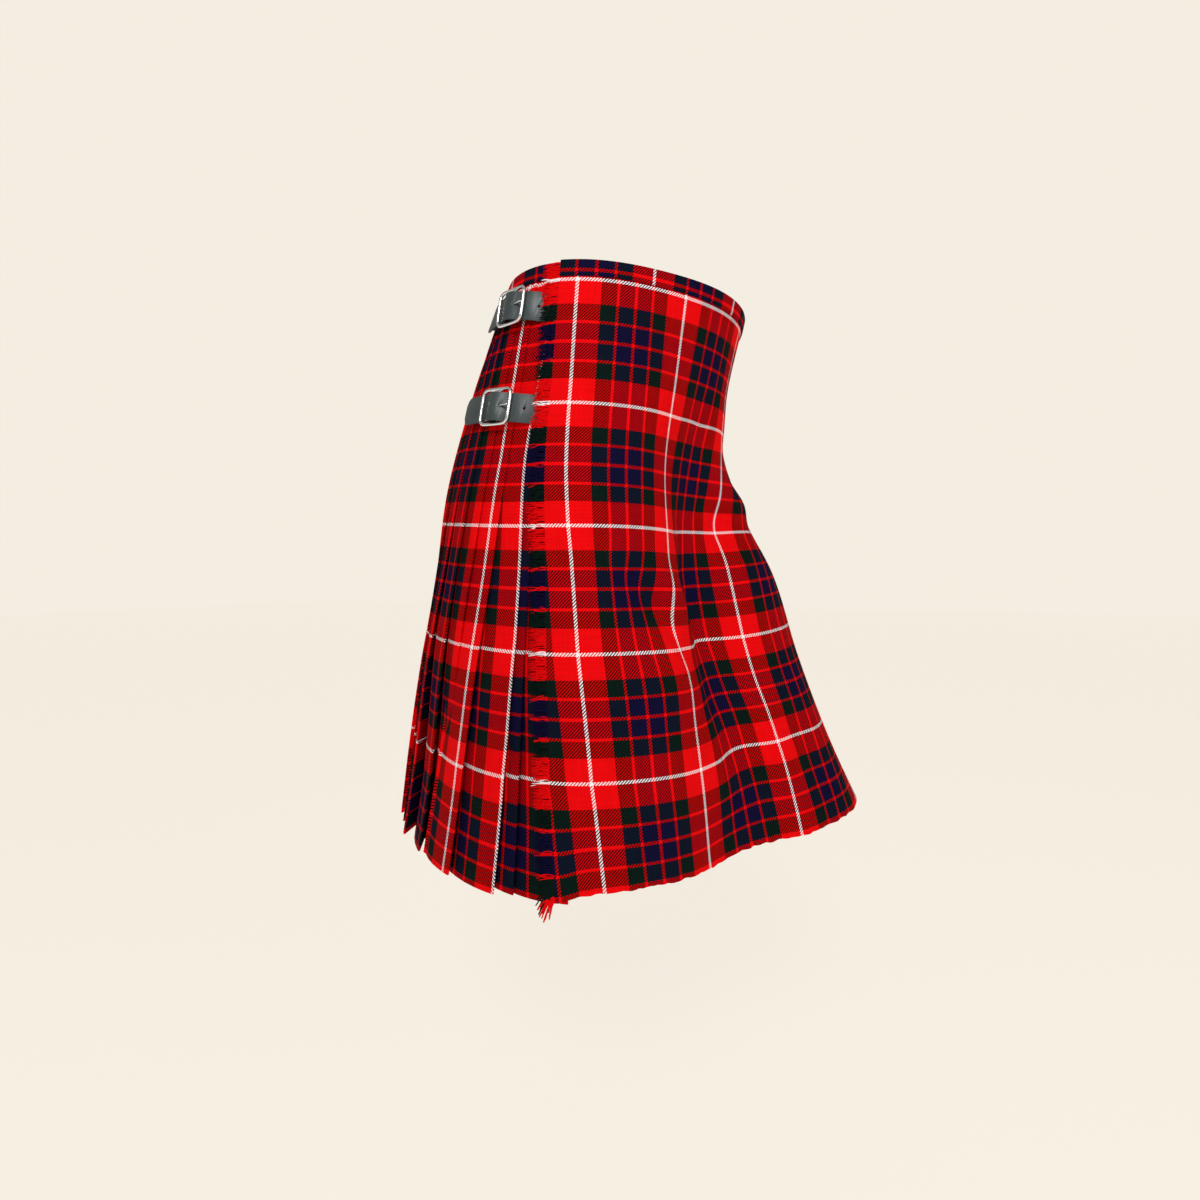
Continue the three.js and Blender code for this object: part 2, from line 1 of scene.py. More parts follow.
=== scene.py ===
# A worn tartan kilt, seen from the wearer's front right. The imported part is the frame; the cloth is
# rebuilt here as fine sheets with their folds, woven check and ravelled edge.
# Cloth is placed by "across" (round the kilt from the over-apron's first white line, + to the
# wearer's left), "down" (cloth below the top edge) and "out" (level distance off the smooth form).
import json
import math
import bpy
import numpy as np
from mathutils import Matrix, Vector

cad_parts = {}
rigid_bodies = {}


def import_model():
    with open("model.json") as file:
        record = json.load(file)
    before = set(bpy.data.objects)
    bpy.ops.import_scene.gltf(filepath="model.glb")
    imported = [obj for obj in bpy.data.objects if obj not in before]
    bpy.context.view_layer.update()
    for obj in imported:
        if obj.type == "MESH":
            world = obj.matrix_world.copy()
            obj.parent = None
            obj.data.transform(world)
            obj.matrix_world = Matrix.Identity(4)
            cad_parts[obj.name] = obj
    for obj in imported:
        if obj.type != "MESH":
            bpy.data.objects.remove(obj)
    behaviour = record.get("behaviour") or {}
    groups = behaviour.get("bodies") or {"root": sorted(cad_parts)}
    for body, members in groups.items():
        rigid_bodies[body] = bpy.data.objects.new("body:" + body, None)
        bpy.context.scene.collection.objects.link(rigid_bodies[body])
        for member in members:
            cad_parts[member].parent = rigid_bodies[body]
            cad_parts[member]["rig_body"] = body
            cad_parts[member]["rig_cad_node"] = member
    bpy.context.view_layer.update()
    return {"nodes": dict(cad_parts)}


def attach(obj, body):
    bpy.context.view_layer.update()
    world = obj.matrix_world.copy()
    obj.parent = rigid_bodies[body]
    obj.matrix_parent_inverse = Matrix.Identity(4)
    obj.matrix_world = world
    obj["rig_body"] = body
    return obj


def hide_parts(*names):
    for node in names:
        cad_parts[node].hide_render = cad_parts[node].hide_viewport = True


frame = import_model()


dice = np.random.default_rng(7)
print("stage: frame loaded")

kilt = {"length": 0.600, "sett": 0.120, "threads": 152, "cloth": 0.0011, "apronSetts": 3, "firstRow": .018,
        "smoothTo": 50}

# the smooth form: a row for each level ring, from the top edge down
formColumns = ("halfWidth", "front", "back", "shift", "lean", "thigh", "hollow", "corner")
formRows = [dict(zip(formColumns, row)) for row in (
    (.156, .125, .116, 0, .134, 0, 0, .005),
    (.163, .126, .155, .003, .128, -.018, -.013, .011),
    (.177, .129, .188, .002, .128, -.015, -.035, .011),
    (.192, .145, .216, -.010, .133, .008, -.057, .010),
    (.199, .161, .245, -.015, .139, .018, -.054, .008),
    (.197, .180, .268, -.013, .151, .038, -.038, .003),
    (.204, .198, .279, -.008, .171, .070, -.037, 0),
)]
formSpacing = 0.1
# where the form swells out or sinks in: degrees round from the front, and half width
swells = {
    "thigh": {"angle": 26, "spread": 26},
    "hollow": {"angle": -18, "spread": 17},
    "corner": {"angle": -133, "spread": 22},
}
leanEase = {"angle": 135, "share": 0.4}

# where the over-apron's first white line and its edges lie, by the length of cloth above
lineRows = [
    {"down": 0, "firstLine": -87, "taper": .017},
    {"down": .130, "firstLine": -87.5, "taper": .0185},
    {"down": .260, "firstLine": -88, "taper": .022},
    {"down": .380, "firstLine": -86.5, "taper": .030},
    {"down": .500, "firstLine": -83, "taper": .039},
    {"down": .600, "firstLine": -78, "taper": .047},
]


def byDown(rows, column, down):
    return np.interp(down, [row["down"] for row in rows], [row[column] for row in rows])


def smooth(low, high, value):
    t = np.clip((np.asarray(value, float) - low) / (high - low), 0, 1)
    return t * t * (3 - 2 * t)


def along(column, level):
    # smooth value of one column of the form's rows
    values = [row[column] for row in formRows]
    values = np.array([2 * values[0] - values[1]] + values + [2 * values[-1] - values[-2]])
    index = np.clip(np.floor(level).astype(int), 0, len(formRows) - 2)
    t = level - index
    a, b, c, d = (values[index + k] for k in range(4))
    return .5 * (2 * b + (c - a) * t + (2 * a - 5 * b + 4 * c - d) * t * t
                 + (3 * b - a - 3 * c + d) * t ** 3)


def bulge(angle, at):
    turn = np.mod(angle - math.radians(at["angle"]) + math.pi, 2 * math.pi) - math.pi
    return np.exp(-.5 * (turn / math.radians(at["spread"])) ** 2)


def formPoint(angle, depth):
    level = depth / formSpacing
    sine, cosine = np.sin(angle), np.cos(angle)
    ease = 1 - leanEase["share"] * (1 + np.cos(angle - math.radians(leanEase["angle"])))
    skew = 1 + along("lean", level) * ease * np.sin(2 * angle)
    swell = sum(along(column, level) * bulge(angle, at) for column, at in swells.items())
    reach = np.where(cosine > 0, along("front", level), along("back", level))
    x = along("halfWidth", level) * sine * skew + swell * sine
    y = along("shift", level) - reach * cosine * skew - swell * cosine
    return np.stack([x, y, -depth], -1)


# depth reached by each length of cloth, down each meridian of the form
meridianGrid = {"angles": 721, "deepest": .621, "step": .005}
ringAngles = np.linspace(-math.pi, math.pi, meridianGrid["angles"])
depthSteps = np.arange(0, meridianGrid["deepest"], meridianGrid["step"])
meridians = formPoint(ringAngles[:, None], depthSteps + 0 * ringAngles[:, None])
meridianRuns = np.linalg.norm(np.diff(meridians, axis=1), axis=2).cumsum(1)
meridianRuns = np.concatenate([np.zeros((len(ringAngles), 1)), meridianRuns], 1)


def ringAt(down):
    depths = np.array([np.interp(down, run, depthSteps) for run in meridianRuns])
    points = formPoint(ringAngles, depths)
    arcs = np.concatenate([[0], np.linalg.norm(np.diff(points, axis=0), axis=1).cumsum()])
    start = math.radians(byDown(lineRows, "firstLine", down))
    return {"points": points, "arcs": arcs, "girth": arcs[-1], "zero": np.interp(start, ringAngles, arcs)}


def ringPoint(ring, across):
    arc = np.mod(ring["zero"] + across, ring["girth"])
    return np.stack([np.interp(arc, ring["arcs"], ring["points"][:, k]) for k in range(3)], -1)


def place(ring, across, out):
    # points of one ring, moved off the form along the level normal found over this reach
    reach = .006
    before, after = ringPoint(ring, across - reach), ringPoint(ring, across + reach)
    normal = np.stack([after[:, 1] - before[:, 1], before[:, 0] - after[:, 0], np.zeros(len(before))], -1)
    normal /= np.linalg.norm(normal, axis=1)[:, None]
    return ringPoint(ring, across) + normal * np.asarray(out)[..., None]


def rightEdge(down):
    return -byDown(lineRows, "taper", down)


def leftEdge(down):
    return kilt["apronSetts"] * kilt["sett"] + byDown(lineRows, "taper", down)


# one repeat of the check, in threads from the middle of the white line to the next
white, red, green, blue = (.92, .84, .87), (.74, .0015, .003), (.002, .009, .007), (.004, .003, .026)
sett = [(2, white), (28, red), (20, green), (4, red), (20, blue), (4, red), (20, blue), (4, red),
        (20, green), (28, red), (2, white)]


def newMaterial(name):
    material = bpy.data.materials.new(name)
    material.use_nodes = True
    tree = material.node_tree
    return material, tree, tree.nodes["Principled BSDF"]


def node(tree, kind, inputs=(), **settings):
    made = tree.nodes.new(kind)
    for key, value in settings.items():
        setattr(made, key, value)
    for socket, value in dict(inputs).items():
        if isinstance(value, bpy.types.NodeSocket):
            tree.links.new(value, made.inputs[socket])
        else:
            made.inputs[socket].default_value = value
    return made


def calc(tree, operation, *values):
    return node(tree, "ShaderNodeMath", dict(enumerate(values)), operation=operation).outputs[0]


def settColour(tree, phase):
    ramp = node(tree, "ShaderNodeValToRGB", {"Fac": calc(tree, "FRACT", phase)})
    ramp.color_ramp.interpolation = "CONSTANT"
    count = 0
    for k, (threads, colour) in enumerate(sett):
        begins = count / kilt["threads"]
        stop = ramp.color_ramp.elements[0] if k == 0 else ramp.color_ramp.elements.new(begins)
        stop.color = (*colour, 1)
        count += threads
    ramp.color_ramp.elements.remove(ramp.color_ramp.elements[-1])
    return ramp.outputs["Color"]


# how the wool takes the light: each noise as its scale and how much it darkens
wool = {"unlikeMost": .85, "crossing": .34, "base": .86, "fuzz": (260, .16), "soft": (9, .12),
        "streaks": ((70, 2.5, 1), (2.5, 70, 1)), "streakBase": .84, "streak": .30,
        "bump": .35, "ribHeight": .0004, "roughness": .85, "specular": .04}


def tartanMaterial(name, weave):
    # warp and weft both carry the check; a 2/2 twill shows each on half of the crossings
    material, tree, shader = newMaterial(name)
    uv = node(tree, "ShaderNodeUVMap", uv_map="cloth")
    split = node(tree, "ShaderNodeSeparateXYZ", {"Vector": uv.outputs["UV"]})
    across, down = split.outputs["X"], split.outputs["Y"]
    thread = [calc(tree, "MULTIPLY", value, kilt["threads"]) for value in (across, down)]
    if weave:
        both = calc(tree, "ADD", calc(tree, "FLOOR", thread[0]), calc(tree, "FLOOR", thread[1]))
        step = calc(tree, "FLOORED_MODULO", both, 4)
        warpUp = calc(tree, "LESS_THAN", step, 1.5)
        weft, warp = settColour(tree, down), settColour(tree, across)
        mixed = node(tree, "ShaderNodeMix", {"Factor": warpUp}, data_type="RGBA")
        tree.links.new(weft, mixed.inputs[6])
        tree.links.new(warp, mixed.inputs[7])
        colour = mixed.outputs[2]
        # yarns of unlike tone shade each other where they cross
        between = node(tree, "ShaderNodeVectorMath", {0: weft, 1: warp}, operation="DISTANCE")
        unlike = between.outputs["Value"]
        unlike = calc(tree, "MULTIPLY", unlike, calc(tree, "LESS_THAN", unlike, wool["unlikeMost"]))
        crossed = calc(tree, "SUBTRACT", 1, calc(tree, "MULTIPLY", unlike, wool["crossing"]))
        # painted bounced light: green and blue are cut further where yarns of unlike tone cross
        muted = calc(tree, "SUBTRACT", 1, unlike)
        rib = calc(tree, "PINGPONG", calc(tree, "ADD", thread[0], thread[1]), 2)
        height = calc(tree, "MULTIPLY", rib, .5)
    else:
        colour, crossed, muted = settColour(tree, down), 1, 1
        height = calc(tree, "PINGPONG", thread[0], 1)
    flat = uv.outputs["UV"]
    fuzz = node(tree, "ShaderNodeTexNoise", {"Vector": flat, "Scale": wool["fuzz"][0], "Detail": 2})
    soft = node(tree, "ShaderNodeTexNoise", {"Vector": flat, "Scale": wool["soft"][0], "Detail": 3})
    shade = calc(tree, "ADD", wool["base"], calc(tree, "MULTIPLY", fuzz.outputs[0], wool["fuzz"][1]))
    shade = calc(tree, "ADD", shade, calc(tree, "MULTIPLY", soft.outputs[0], wool["soft"][1]))
    for run in wool["streaks"]:
        stretched = node(tree, "ShaderNodeVectorMath", {0: flat, 1: run}, operation="MULTIPLY")
        streak = node(tree, "ShaderNodeTexNoise", {"Vector": stretched.outputs[0], "Scale": 1, "Detail": 1})
        dark = calc(tree, "MULTIPLY", streak.outputs[0], wool["streak"])
        shade = calc(tree, "MULTIPLY", shade, calc(tree, "ADD", wool["streakBase"], dark))
    shade = calc(tree, "MULTIPLY", shade, crossed)
    tint = calc(tree, "MULTIPLY", shade, muted)
    tone = node(tree, "ShaderNodeCombineXYZ", {"X": shade, "Y": tint, "Z": tint})
    toned = node(tree, "ShaderNodeVectorMath", {0: colour, 1: tone.outputs[0]}, operation="MULTIPLY")
    tree.links.new(toned.outputs[0], shader.inputs["Base Color"])
    relief = {"Height": height, "Strength": wool["bump"], "Distance": wool["ribHeight"]}
    bump = node(tree, "ShaderNodeBump", relief)
    tree.links.new(bump.outputs["Normal"], shader.inputs["Normal"])
    shader.inputs["Roughness"].default_value = wool["roughness"]
    shader.inputs["Specular IOR Level"].default_value = wool["specular"]
    return material


# strap leather: black, a little grey where it has worn
hide = {"grain": 900, "worn": 60, "dark": (.020, .027, .030, 1), "light": (.050, .070, .076, 1),
        "bump": .25, "grainDepth": .0003, "roughness": .42}


def leatherMaterial():
    material, tree, shader = newMaterial("leather")
    spot = node(tree, "ShaderNodeTexCoord").outputs["Object"]
    grain = node(tree, "ShaderNodeTexVoronoi", {"Vector": spot, "Scale": hide["grain"]}).outputs[0]
    worn = node(tree, "ShaderNodeTexNoise", {"Vector": spot, "Scale": hide["worn"], "Detail": 4})
    tone = node(tree, "ShaderNodeMix", {"Factor": worn.outputs[0]}, data_type="RGBA")
    tone.inputs[6].default_value = hide["dark"]
    tone.inputs[7].default_value = hide["light"]
    tree.links.new(tone.outputs[2], shader.inputs["Base Color"])
    relief = {"Height": grain, "Strength": hide["bump"], "Distance": hide["grainDepth"]}
    bump = node(tree, "ShaderNodeBump", relief)
    tree.links.new(bump.outputs["Normal"], shader.inputs["Normal"])
    shader.inputs["Roughness"].default_value = hide["roughness"]
    return material


# buckle plating: bright, duller in patches
plating = {"wear": 300, "roughness": .12, "duller": .12, "colour": (.78, .79, .82, 1)}


def chromeMaterial():
    material, tree, shader = newMaterial("chrome")
    spot = node(tree, "ShaderNodeTexCoord").outputs["Object"]
    wear = node(tree, "ShaderNodeTexNoise", {"Vector": spot, "Scale": plating["wear"], "Detail": 3})
    duller = calc(tree, "MULTIPLY", wear.outputs[0], plating["duller"])
    rough = calc(tree, "ADD", plating["roughness"], duller)
    tree.links.new(rough, shader.inputs["Roughness"])
    shader.inputs["Metallic"].default_value = 1
    shader.inputs["Base Color"].default_value = plating["colour"]
    return material


tartan = tartanMaterial("tartan", True)
yarn = tartanMaterial("fringe_yarn", False)
leather = leatherMaterial()
chrome = chromeMaterial()
print("stage: materials")


def clothSheet(name, rings, acrossOf, outOf, dropOf=None):
    # a sheet laid on the form ring by ring, with its check on the cloth's own grain
    verts, uvs = [], []
    for down in rings:
        across, grain = acrossOf(down)
        points = place(ringAt(down), across, outOf(across, down))
        if dropOf:
            points[:, 2] -= dropOf(across, down)
        verts.append(points)
        uvs.append(np.stack([grain / kilt["sett"], np.full(len(across), settDown(down))], -1))
    return gridMesh(name, np.array(verts), np.array(uvs), kilt["cloth"])


def settDown(down):
    # the check's rows, counted from the first white row below the top edge
    return (down - kilt["firstRow"]) / kilt["sett"]


def gridMesh(name, verts, uvs, thick):
    # a grid of rows and columns, with a closed back
    rows, columns = verts.shape[:2]
    index = np.arange(rows * columns).reshape(rows, columns)
    quads = np.stack([index[:-1, :-1], index[1:, :-1], index[1:, 1:], index[:-1, 1:]], -1).reshape(-1, 4)
    mesh = bpy.data.meshes.new(name)
    mesh.from_pydata(verts.reshape(-1, 3).tolist(), [], quads.tolist())
    layer = mesh.uv_layers.new(name="cloth")
    layer.data.foreach_set("uv", uvs.reshape(-1, 2)[quads.reshape(-1)].astype(np.float32).ravel())
    piece = bpy.data.objects.new(name, mesh)
    bpy.context.scene.collection.objects.link(piece)
    bpy.ops.object.select_all(action="DESELECT")
    piece.select_set(True)
    bpy.context.view_layer.objects.active = piece
    bpy.ops.object.modifier_add(type="SOLIDIFY")
    piece.modifiers[-1].thickness = thick
    piece.modifiers[-1].offset = -1
    bpy.ops.object.modifier_apply(modifier=piece.modifiers[-1].name)
    bpy.ops.object.shade_smooth_by_angle(angle=math.radians(kilt["smoothTo"]))
    return piece


def finishPiece(piece, nodes, material):
    piece.data.materials.clear()
    piece.data.materials.append(material)
    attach(piece, "root")
    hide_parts(*nodes)


# soft folds: from one end to the other, half width and height
folds = [
    {"across": .262, "down": .205, "toAcross": .330, "toDown": .232, "width": .016, "height": .010},
    {"across": .205, "down": .232, "toAcross": .268, "toDown": .275, "width": .019, "height": -.014},
    {"across": .262, "down": .150, "toAcross": .330, "toDown": .166, "width": .012, "height": -.006},
    {"across": .180, "down": .110, "toAcross": .204, "toDown": .200, "width": .012, "height": -.004},
    {"across": .156, "down": .150, "toAcross": .172, "toDown": .262, "width": .009, "height": .003},
    {"across": .030, "down": .285, "toAcross": .128, "toDown": .382, "width": .009, "height": -.0065},
    {"across": .062, "down": .276, "toAcross": .156, "toDown": .366, "width": .013, "height": .006},
    {"across": .172, "down": .300, "toAcross": .206, "toDown": .420, "width": .013, "height": -.005},
    {"across": .150, "down": .420, "toAcross": .162, "toDown": .600, "width": .017, "height": .005},
    {"across": .196, "down": .440, "toAcross": .212, "toDown": .600, "width": .016, "height": -.006},
    {"across": .258, "down": .430, "toAcross": .286, "toDown": .600, "width": .020, "height": -.007},
]


# a fold runs full between these shares of its length and dies away past its ends
foldEnds = {"from": .15, "to": .85, "fall": 6}


def foldLift(across, down):
    lift = np.zeros(len(across))
    for fold in folds:
        runAcross, runDown = fold["toAcross"] - fold["across"], fold["toDown"] - fold["down"]
        length = math.hypot(runAcross, runDown)
        t = ((across - fold["across"]) * runAcross + (down - fold["down"]) * runDown) / length ** 2
        away = ((across - fold["across"]) * runDown - (down - fold["down"]) * runAcross) / length
        fade = np.exp(-foldEnds["fall"] * np.maximum(np.maximum(-t, t - 1), 0))
        fade = fade * np.sin(math.pi * np.clip(t, foldEnds["from"], foldEnds["to"]))
        lift += fold["height"] * fade * np.exp(-.5 * (away / fold["width"]) ** 2)
    return lift


# where folds take the cloth sideways: its grain drifts off the smooth lines
drifts = [
    {"across": .098, "down": .322, "width": .038, "height": .042, "shift": .018},
    {"across": .124, "down": .410, "width": .034, "height": .024, "shift": -.006},
    {"across": .228, "down": .262, "width": .026, "height": .045, "shift": .008},
]


def grainDrift(across, down):
    shift = np.zeros(len(across))
    for drift in drifts:
        awayAcross = (across - drift["across"]) / drift["width"]
        awayDown = (down - drift["down"]) / drift["height"]
        shift += drift["shift"] * np.exp(-.5 * (awayAcross ** 2 + awayDown ** 2))
    return shift


def spread(start, end, columns):
    def acrossOf(down):
        across = np.linspace(start(down), end(down), columns)
        return across, across + grainDrift(across, down)
    return acrossOf


# over-apron: the outer flat front, three repeats wide between its tapered edges
overApron = {"rings": 160, "columns": 120,
             "corner": {"drop": .009, "reach": .022, "from": .50},
             "ragged": {"size": .0009, "points": 90, "from": .590, "start": -.05, "end": .41}}
raggedHem = dice.normal(0, overApron["ragged"]["size"], overApron["ragged"]["points"])


def cornerDrop(beforeEdge, down):
    # the over-apron's free corner hangs a little lower than the rest of the hem
    corner = overApron["corner"]
    hang = np.exp(-((beforeEdge / corner["reach"]) ** 2)) * smooth(corner["from"], kilt["length"], down)
    return corner["drop"] * hang


def apronDrop(across, down):
    ragged = overApron["ragged"]
    spots = np.linspace(ragged["start"], ragged["end"], ragged["points"])
    uneven = np.interp(across, spots, raggedHem) * smooth(ragged["from"], kilt["length"], down)
    return cornerDrop(across - rightEdge(down), down) + uneven


overApron["piece"] = clothSheet(
    "overApronCloth", np.linspace(0, kilt["length"], overApron["rings"]),
    spread(rightEdge, leftEdge, overApron["columns"]), foldLift, apronDrop)
finishPiece(overApron["piece"], ["over_apron"], tartan)

# under-apron: plain, behind the over-apron
underApron = {"rings": 60, "columns": 60, "out": -.0048, "inset": .0124, "freeEdge": .045,
              "narrower": .057}
underApron["piece"] = clothSheet(
    "underApronCloth", np.linspace(0, kilt["length"], underApron["rings"]),
    spread(lambda down: rightEdge(down) + underApron["inset"],
           lambda down: leftEdge(down) - underApron["freeEdge"], underApron["columns"]),
    lambda across, down: underApron["out"] + foldLift(across, down))
finishPiece(underApron["piece"], ["under_apron"], tartan)
print("stage: aprons")

# fold edges of the first pleats behind the over-apron's edge, and how far each face slopes in
pleatColumns = ("down", "first", "second", "third", "fourth", "step", "tuck")
pleatRows = [dict(zip(pleatColumns, row)) for row in (
    (0, -.009, -.003, .003, .026, .0012, .0010),
    (.190, .002, .011, .022, .042, .0026, .003),
    (.370, .008, .024, .034, .076, .0075, .011),
    (.460, .012, .033, .046, .095, .0110, .016),
    (.600, .016, .046, .066, .124, .0135, .022),
)]
# a pleat's columns: its rounded fold edge as (share, drop), its face, and the return under the next
pleats = {"count": 30, "start": -.012, "out": -.0048, "rings": 88, "hip": .190, "cloth": .0009, "seamGap": .0008,
          "grains": [.008, .026, .045, .0, -.009], "sway": .004, "looseFrom": .30, "looseAt": .56,
          "round": ((-.15, 1.0), (-.4, .45), (0, .04)), "edge": .0016,
          "face": (.12, .3, .5, .7, .88, 1), "belly": .0016, "fullStep": .009,
          "edgeDrop": 1.4, "edgeGrain": .002, "turnGap": .0006, "turnIn": .98, "turnLift": (.0005, .0014),
          "turnGrain": .004, "frontRise": .0026, "frontRiseAt": (.125, .185),
          "seamRise": .002, "seamRiseAt": (.190, .130), "hang": .011, "hangFrom": .47, "hangAt": (.16, .40),
          "depths": (-.0045, .0025), "drops": (-.003, .004),
          "frontDepths": (-.001, -.005, -.004, 0, .001, -.009, -.007, -.002)}
pleats["columns"] = len(pleats["round"]) + len(pleats["face"]) + 2


def pleatedLength(down):
    return ringAt(down)["girth"] - leftEdge(down) + rightEdge(down) - pleats["seamGap"]


def pleatOut(behind, length):
    # closest in beside the fringed edge, out to the smooth form beside the far seam
    rise = pleats["frontRise"] * smooth(*pleats["frontRiseAt"], behind)
    seamFrom, seamTo = (length - away for away in pleats["seamRiseAt"])
    rise = rise + pleats["seamRise"] * smooth(seamFrom, seamTo, behind)
    return pleats["out"] + rise


def foldEdges(down, length):
    named = [float(byDown(pleatRows, name, down)) for name in ("first", "second", "third", "fourth")]
    rest = pleats["count"] - len(named)
    edges = [pleats["start"]] + named
    for k in range(1, rest + 1):
        sway = pleats["sway"] * math.sin(2.3 * k) * (down / kilt["length"]) ** 2 if k < rest else 0
        edges.append(named[3] + (length - named[3]) * k / rest + sway)
    return edges


# some pleats hang deeper than their neighbours below the hip
pleatDepths = dice.uniform(*pleats["depths"], pleats["count"])
pleatDepths[:len(pleats["frontDepths"])] = pleats["frontDepths"]

hipEdges = foldEdges(pleats["hip"], pleatedLength(pleats["hip"]))
foldGrains = pleats["grains"] + [pleats["grains"][4] + edge - hipEdges[4] for edge in hipEdges[5:]]


def pleatOutline(down):
    # behind, out and grain of each column: face, tuck under the next pleat, and its return
    length = pleatedLength(down)
    edges = foldEdges(down, length)
    step, tuck = float(byDown(pleatRows, "step", down)), float(byDown(pleatRows, "tuck", down))
    edgeRound = min(pleats["edge"], step * .5)
    loose = float(smooth(pleats["looseFrom"], pleats["looseAt"], down))
    behind, out, grain = [], [], []
    for k in range(len(edges) - 1):
        last = k == len(edges) - 2
        first = len(out)
        run = edges[k + 1] - edges[k] + (0 if last else tuck)
        for share, drop in pleats["round"]:
            behind.append(edges[k] + share * edgeRound)
            out.append(-edgeRound * drop * pleats["edgeDrop"])
            grain.append(foldGrains[k] + (share - (drop > .9)) * pleats["edgeGrain"])
        for t in pleats["face"]:
            belly = pleats["belly"] * math.sin(math.pi * t) * min(1, step / pleats["fullStep"])
            behind.append(edges[k] + run * t)
            out.append(-step * t + belly)
            grain.append(foldGrains[k] + run * t)
        if not last:
            behind += [edges[k + 1] + tuck + pleats["turnGap"], edges[k + 1] + tuck * pleats["turnIn"]]
            out += [lift - step for lift in pleats["turnLift"]]
            grain += [foldGrains[k] + run, foldGrains[k + 1] - pleats["turnGrain"]]
        out[first:] = [level + pleatDepths[k] * loose for level in out[first:]]
    behind, out, grain = np.array(behind), np.array(out), np.array(grain)
    return behind, pleatOut(behind, length) + out, grain


pleatDrops = dice.uniform(*pleats["drops"], pleats["count"] + 1)


def hemDrop(behind):
    # each pleat hangs to its own length, longest near the fringed edge
    each = np.repeat(pleatDrops, pleats["columns"])[:len(behind)]
    return each + pleats["hang"] * (1 - smooth(*pleats["hangAt"], behind))


def pleatSheet():
    verts, uvs = [], []
    for down in np.linspace(0, kilt["length"], pleats["rings"]):
        behind, out, grain = pleatOutline(down)
        points = place(ringAt(down), rightEdge(down) - behind, out)
        points[:, 2] -= hemDrop(behind) * smooth(pleats["hangFrom"], kilt["length"], down)
        verts.append(points[::-1])
        uvs.append(np.stack([grain / kilt["sett"], np.full(len(behind), settDown(down))], -1)[::-1])
    return gridMesh("pleatCloth", np.array(verts), np.array(uvs), pleats["cloth"])


pleats["piece"] = pleatSheet()
finishPiece(pleats["piece"], ["pleats"], tartan)
print("stage: pleats")

# waistband: one strip of the cloth folded over the top edge of each stretch
band = {"height": .0155, "clear": .0004, "columns": 90, "cloth": .0009, "row": .0662,
        "apronPhase": .0775, "pleatPhase": .051, "apronDepth": .0032, "pleatDepth": .0050}


def bandSheet(name, start, end, outOf, depth, phase):
    # the strip's own rows run from its outer lower edge over the top to the inner lower edge
    across = np.linspace(start, end, band["columns"])
    low = band["height"]
    path = [(low, -.0006), (low - .0008, .0002)] + [(low * t, .0005) for t in (.75, .5, .25, .06)]
    path += [(-.0004, .0001), (-.0008, -.0010), (-.0008, -depth + .0004), (-.0002, -depth - .0006)]
    path += [(low * t, -depth - .001) for t in (.3, .7)]
    verts, uvs = [], []
    run = 0
    for k, (down, out) in enumerate(path):
        if k:
            run += math.hypot(down - path[k - 1][0], out - path[k - 1][1])
        points = place(ringAt(max(down, 0)), across, outOf(across) + out + band["clear"] + band["cloth"])
        points[:, 2] -= min(down, 0)
        verts.append(points)
        row = np.full(len(across), (band["row"] - run) / kilt["sett"])
        uvs.append(np.stack([(across - phase) / kilt["sett"], row], -1))
    return gridMesh(name, np.array(verts)[::-1], np.array(uvs)[::-1], band["cloth"])


bandOver = {"piece": bandSheet("bandOverCloth", rightEdge(0), leftEdge(0), lambda across: 0 * across,
                               band["apronDepth"], band["apronPhase"])}
finishPiece(bandOver["piece"], ["band_over"], tartan)

bandUnder = {"piece": bandSheet("bandUnderCloth", rightEdge(0) + underApron["inset"],
                                leftEdge(0) - underApron["freeEdge"],
                                lambda across: underApron["out"] + 0 * across,
                                band["apronDepth"], band["apronPhase"])}
finishPiece(bandUnder["piece"], ["band_under"], tartan)

topLength = pleatedLength(0)
bandPleats = {"piece": bandSheet("bandPleatsCloth",
                                 rightEdge(0) - topLength, rightEdge(0) - pleats["start"],
                                 lambda across: pleatOut(rightEdge(0) - across, topLength),
                                 band["pleatDepth"], rightEdge(0) + band["pleatPhase"])}
finishPiece(bandPleats["piece"], ["band_pleats"], tartan)
print("stage: waistband")

# ravelled fringe: the weft left bare along the over-apron's free edge, in a tuft at the corner
fringe = {"strands": 1050, "inset": .001, "reach": .0190, "shortest": .74, "longest": 1.02,
          "thick": .00050, "taper": .45, "steps": 6, "sides": 4, "root": .0006,
          "lift": (-.0004, .0012), "droop": .0026, "curl": .0008, "wave": .0006,
          "tuft": .018, "tuftFrom": .576, "tuftAt": .592, "tuftThick": .05, "tuftSpread": 40}


